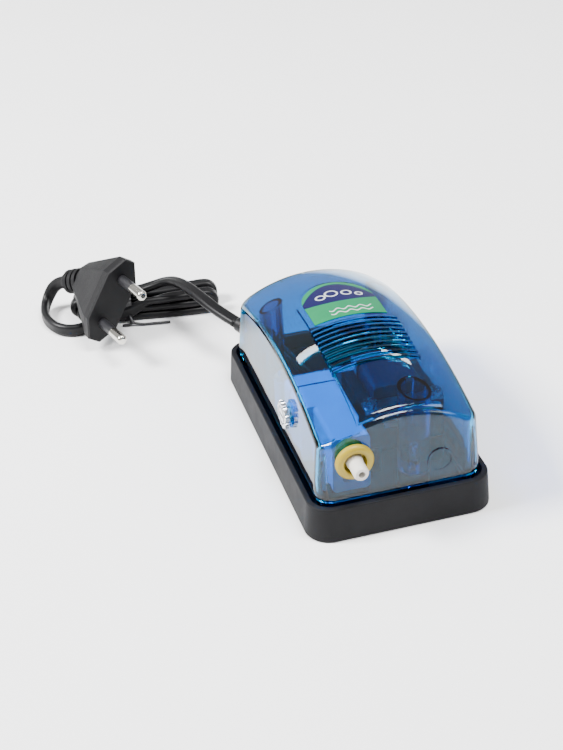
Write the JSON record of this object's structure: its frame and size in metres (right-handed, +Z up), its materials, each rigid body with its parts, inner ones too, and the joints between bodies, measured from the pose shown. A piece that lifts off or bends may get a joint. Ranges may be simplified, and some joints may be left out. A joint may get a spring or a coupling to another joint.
{
  "type": "aquarium_air_pump",
  "caption": "Small aquarium air pump: tinted clear shell over a vibrating-arm pump, black rubber boot, one air outlet, flow adjuster, folded mains lead with two-pin plug.",
  "frame": {"origin": "centre of the underside of the rubber boot, on the surface it stands on", "axes": "+Z up, +Y towards the mains lead, -Y towards the air outlet, +X to the right seen from the front"},
  "size_m": [0.1293, 0.193, 0.0525],
  "materials": {
    "boot_rubber": "matt moulded, slightly soft edges",
    "dark_plastic": "black injection moulding",
    "clear_blue": "transparent tinted blue, polished",
    "label_print": "printed film, green and navy bands",
    "zinc_screws": "bright zinc",
    "felt": "pressed felt",
    "core_steel": "stacked sheet, varnished",
    "bobbin_plastic": "nylon",
    "coil_tape": "wound, taped over",
    "zinc_steel": "zinc plated",
    "arm_plastic": "natural acetal",
    "soft_rubber": "matt, soft",
    "magnet": "ferrite grey",
    "pale_plastic": "pale, slightly translucent moulding",
    "yellow_rubber": "satin yellow",
    "white_plastic": "satin white",
    "chrome_knob": "bright, scalloped edge",
    "cord_pvc": "satin black PVC",
    "wire_sheath": "single insulated cores",
    "splice_nylon": "nylon sleeve",
    "tie_pvc": "PVC coated wire",
    "plug_plastic": "moulded, fine grain",
    "pin_nickel": "nickel plated brass",
    "sleeve_plastic": "insulating sleeve"
  },
  "bodies": {
    "base": {"rubber_base": "boot_rubber", "bottom_plate": "dark_plastic", "top_shell": "clear_blue", "name_label": "label_print", "shell_screws": "zinc_screws", "inlet_filter": "felt", "core_laminations": "core_steel", "coil_bobbin": "bobbin_plastic", "coil_winding": "coil_tape", "core_bracket": "zinc_steel", "core_screws": "zinc_screws", "arm_pivot_pin": "zinc_steel", "pivot_clip": "zinc_steel", "chamber_body": "pale_plastic", "chamber_gasket": "soft_rubber", "valve_plate": "pale_plastic", "intake_valve": "soft_rubber", "outlet_valve": "soft_rubber", "clamp_ring": "pale_plastic", "chamber_screws": "zinc_screws", "diaphragm": "soft_rubber", "outlet_grommet": "yellow_rubber", "outlet_nozzle": "white_plastic", "strain_relief": "cord_pvc", "lead_wires": "wire_sheath", "wire_splices": "splice_nylon", "coil_leads": "wire_sheath", "cord_lead": "cord_pvc", "cord_hank": "cord_pvc", "cord_tail": "cord_pvc", "twist_tie": "tie_pvc", "plug_body": "plug_plastic", "plug_pins": "pin_nickel", "pin_sleeves": "sleeve_plastic"},
    "arm": {"swing_arm": "arm_plastic", "arm_bushing": "soft_rubber", "arm_magnet": "magnet", "diaphragm_washer": "zinc_steel", "diaphragm_screw": "zinc_screws"},
    "knob": {"flow_knob": "chrome_knob", "throttle_stem": "white_plastic", "stem_o_ring": "soft_rubber"}
  },
  "joints": [
    {"name": "arm_swing", "type": "hinge", "parent": "base", "child": "arm", "pos_m": [-0.0234, 0.003, 0.0225], "axis": [0, 0, 1], "range_deg": [-1.5, 1.5], "stiffness_Nm_per_rad": 0.4, "deforming": ["diaphragm"]},
    {"name": "flow_adjust", "type": "hinge", "parent": "base", "child": "knob", "pos_m": [-0.0293, -0.0171, 0.0271], "axis": [1, 0, 0], "range_deg": [0, 270]}
  ]
}
